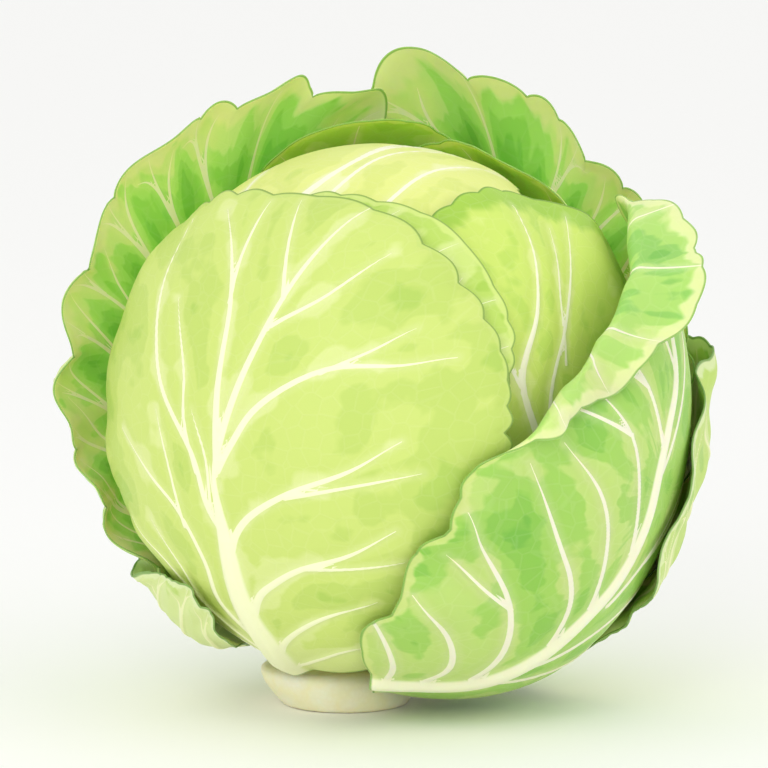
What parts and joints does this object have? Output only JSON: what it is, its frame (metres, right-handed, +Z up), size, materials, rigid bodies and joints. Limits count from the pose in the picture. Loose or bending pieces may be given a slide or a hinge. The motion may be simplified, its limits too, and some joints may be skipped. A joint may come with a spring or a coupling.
{
  "type": "cabbage head",
  "caption": "Head of green cabbage standing on its cut stem, with smooth overlapping leaves round a tight heart and loose ruffled wrapper leaves.",
  "frame": {"origin": "centre of the flat cut face under the stem, on the surface that the head stands on", "axes": "+Z up through the head, -Y towards the front of the head, +X to its right as seen from the front"},
  "size_m": [0.2303, 0.2022, 0.224],
  "materials": {
    "stem_flesh": "cream cut stem flesh, matt, slightly fibrous",
    "heart_leaf": "pale yellow-green inner leaf, satin",
    "head_leaf": "yellow-green head leaf with cream veins, satin with a light wax bloom",
    "wrapper_leaf": "mid-green wrapper leaf with pale veins and margin, satin with a wax bloom"
  },
  "bodies": {
    "root": {"stem": "stem_flesh", "heart": "heart_leaf", "crown_leaf": "heart_leaf", "back_right_head_leaf": "head_leaf", "back_left_head_leaf": "head_leaf", "right_head_leaf": "head_leaf", "second_head_leaf": "head_leaf", "front_head_leaf": "head_leaf", "left_wrapper_leaf": "wrapper_leaf", "right_wrapper_leaf": "wrapper_leaf", "back_wrapper_leaf": "wrapper_leaf", "left_outer_leaf": "wrapper_leaf", "right_outer_leaf": "wrapper_leaf"}
  },
  "joints": []
}
